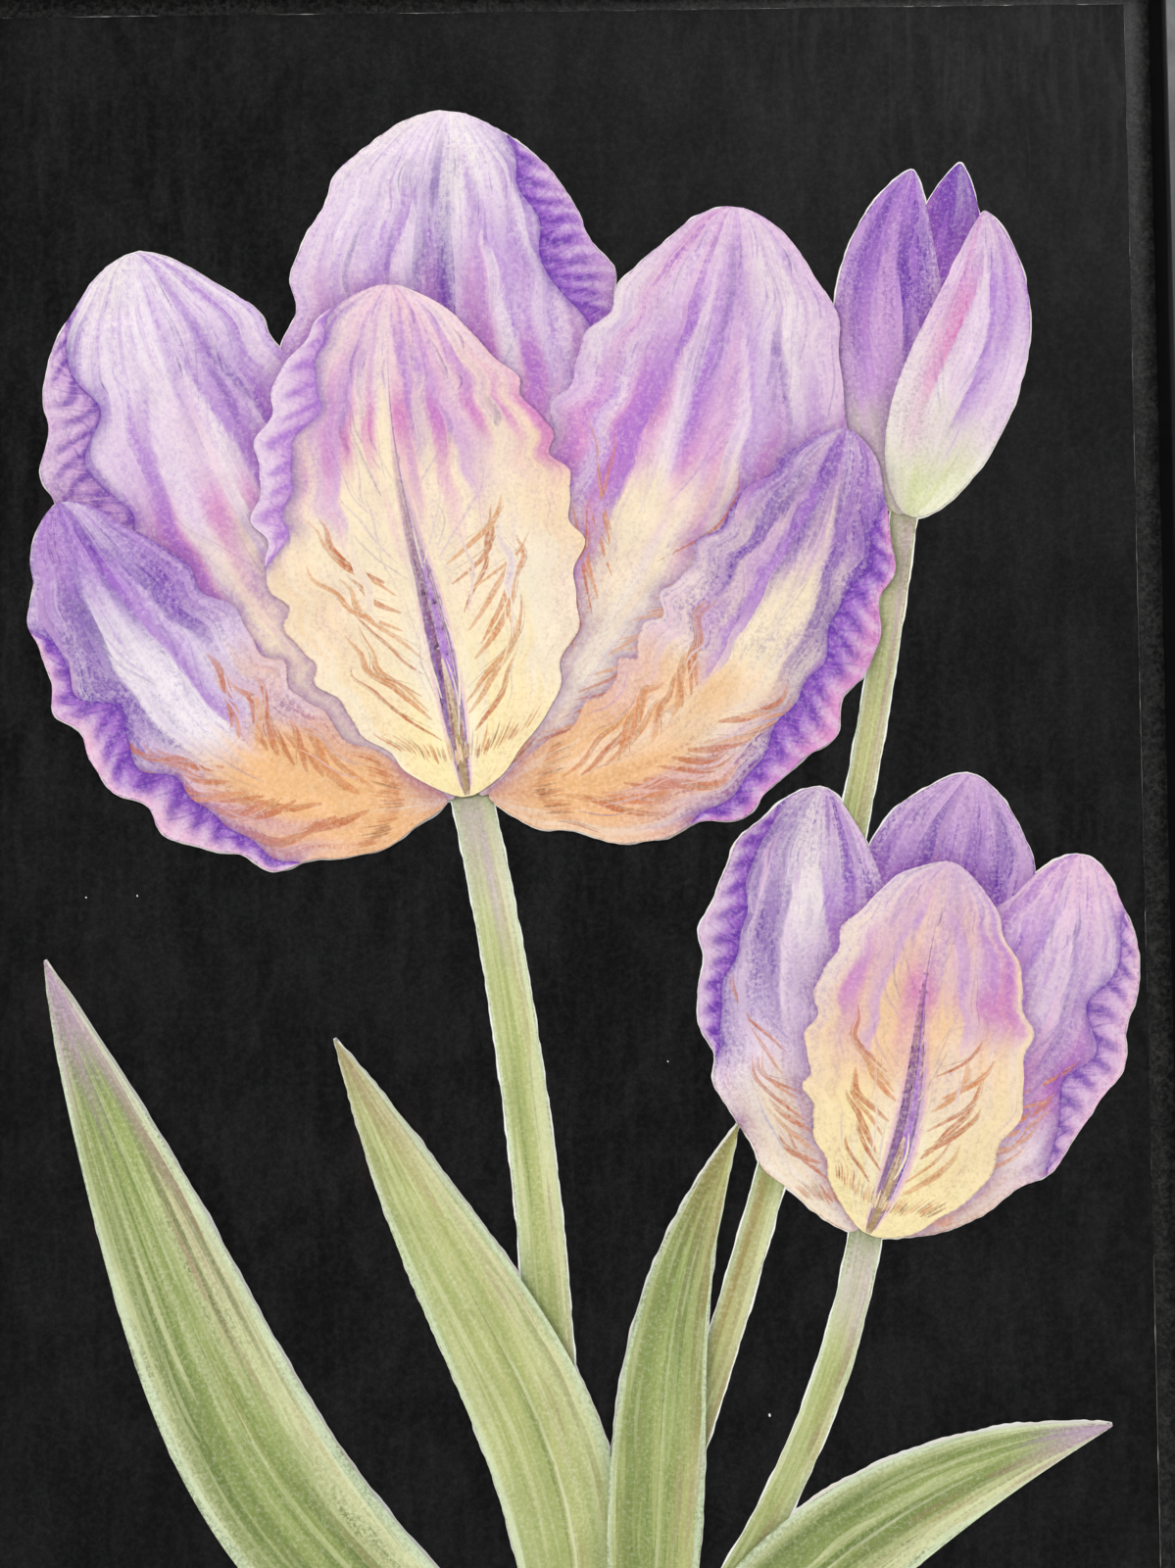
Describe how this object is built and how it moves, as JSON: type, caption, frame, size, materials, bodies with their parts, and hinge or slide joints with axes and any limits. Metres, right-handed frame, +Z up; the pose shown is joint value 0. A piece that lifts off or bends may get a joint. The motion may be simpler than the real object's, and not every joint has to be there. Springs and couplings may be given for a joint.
{
  "type": "framed painting",
  "caption": "Upright framed flower painting on black ground, laid on a black mount board in a slim black lipped frame, with a hanger at the back.",
  "frame": {"origin": "where the wall hook bears the hanger's toothed edge, at the middle of the width, in the plane of the rails' backs", "axes": "+Z up the picture, +X to the right seen from the front, +Y towards the wall; the painting faces -Y"},
  "size_m": [0.3466, 0.025, 0.4695],
  "materials": {
    "black_lacquered_wood": "satin black lacquer over wood, faint grain, hairline mitres",
    "black_mount_board": "matt black uncoated board with fine fibre tooth",
    "watercolour_paper": "white cold-press paper, fine tooth, cut edges",
    "mounting_tape": "gummed paper tape",
    "black_gouache": "matt black gouache with faint brush strokes",
    "lilac_wash": "lilac, rose and violet watercolour with coloured-pencil lines",
    "cream_wash": "cream and apricot watercolour with brown-orange strokes",
    "green_wash": "green watercolour streaked along stems and leaves",
    "hardboard": "brown hardboard, rough mesh side out",
    "zinc_steel": "zinc-plated steel",
    "brassed_steel": "brass-plated pressed steel strip",
    "felt": "dark felt pad"
  },
  "bodies": {
    "root": {"backing_board": "hardboard", "backing_point_bottom_1": "zinc_steel", "backing_point_bottom_2": "zinc_steel", "backing_point_left_1": "zinc_steel", "backing_point_left_2": "zinc_steel", "backing_point_right_1": "zinc_steel", "backing_point_right_2": "zinc_steel", "backing_point_top_1": "zinc_steel", "backing_point_top_2": "zinc_steel", "black_ground": "black_gouache", "black_ground_2": "black_gouache", "black_ground_3": "black_gouache", "black_ground_4": "black_gouache", "bud_back_petal": "lilac_wash", "bud_left_petal": "lilac_wash", "bud_right_petal": "lilac_wash", "bud_stem": "green_wash", "bud_stem_2": "green_wash", "corner_nail_bottom_left": "zinc_steel", "corner_nail_bottom_right": "zinc_steel", "corner_nail_top_left": "zinc_steel", "corner_nail_top_right": "zinc_steel", "frame_rail_bottom": "black_lacquered_wood", "frame_rail_left": "black_lacquered_wood", "frame_rail_right": "black_lacquered_wood", "frame_rail_top": "black_lacquered_wood", "half_open_tulip_back_petal": "lilac_wash", "half_open_tulip_front_petal": "cream_wash", "half_open_tulip_left_petal": "lilac_wash", "half_open_tulip_left_petal_rim": "lilac_wash", "half_open_tulip_right_petal": "lilac_wash", "half_open_tulip_right_petal_rim": "lilac_wash", "half_open_tulip_stem": "green_wash", "hanger": "brassed_steel", "hanger_screw_1": "zinc_steel", "hanger_screw_2": "zinc_steel", "left_leaf": "green_wash", "mount_board": "black_mount_board", "mount_tape_bottom_left": "mounting_tape", "mount_tape_bottom_right": "mounting_tape", "mount_tape_top_left": "mounting_tape", "mount_tape_top_right": "mounting_tape", "open_tulip_back_petal": "lilac_wash", "open_tulip_back_petal_rim": "lilac_wash", "open_tulip_front_petal": "cream_wash", "open_tulip_front_petal_rim": "lilac_wash", "open_tulip_left_fall": "lilac_wash", "open_tulip_left_fall_rim": "lilac_wash", "open_tulip_left_petal": "lilac_wash", "open_tulip_left_petal_rim": "lilac_wash", "open_tulip_right_fall": "lilac_wash", "open_tulip_right_fall_rim": "lilac_wash", "open_tulip_right_petal": "lilac_wash", "open_tulip_stem": "green_wash", "paper_sheet": "watercolour_paper", "right_leaf": "green_wash", "short_leaf": "green_wash", "tall_leaf": "green_wash", "wall_pad_left": "felt", "wall_pad_right": "felt"}
  },
  "joints": []
}
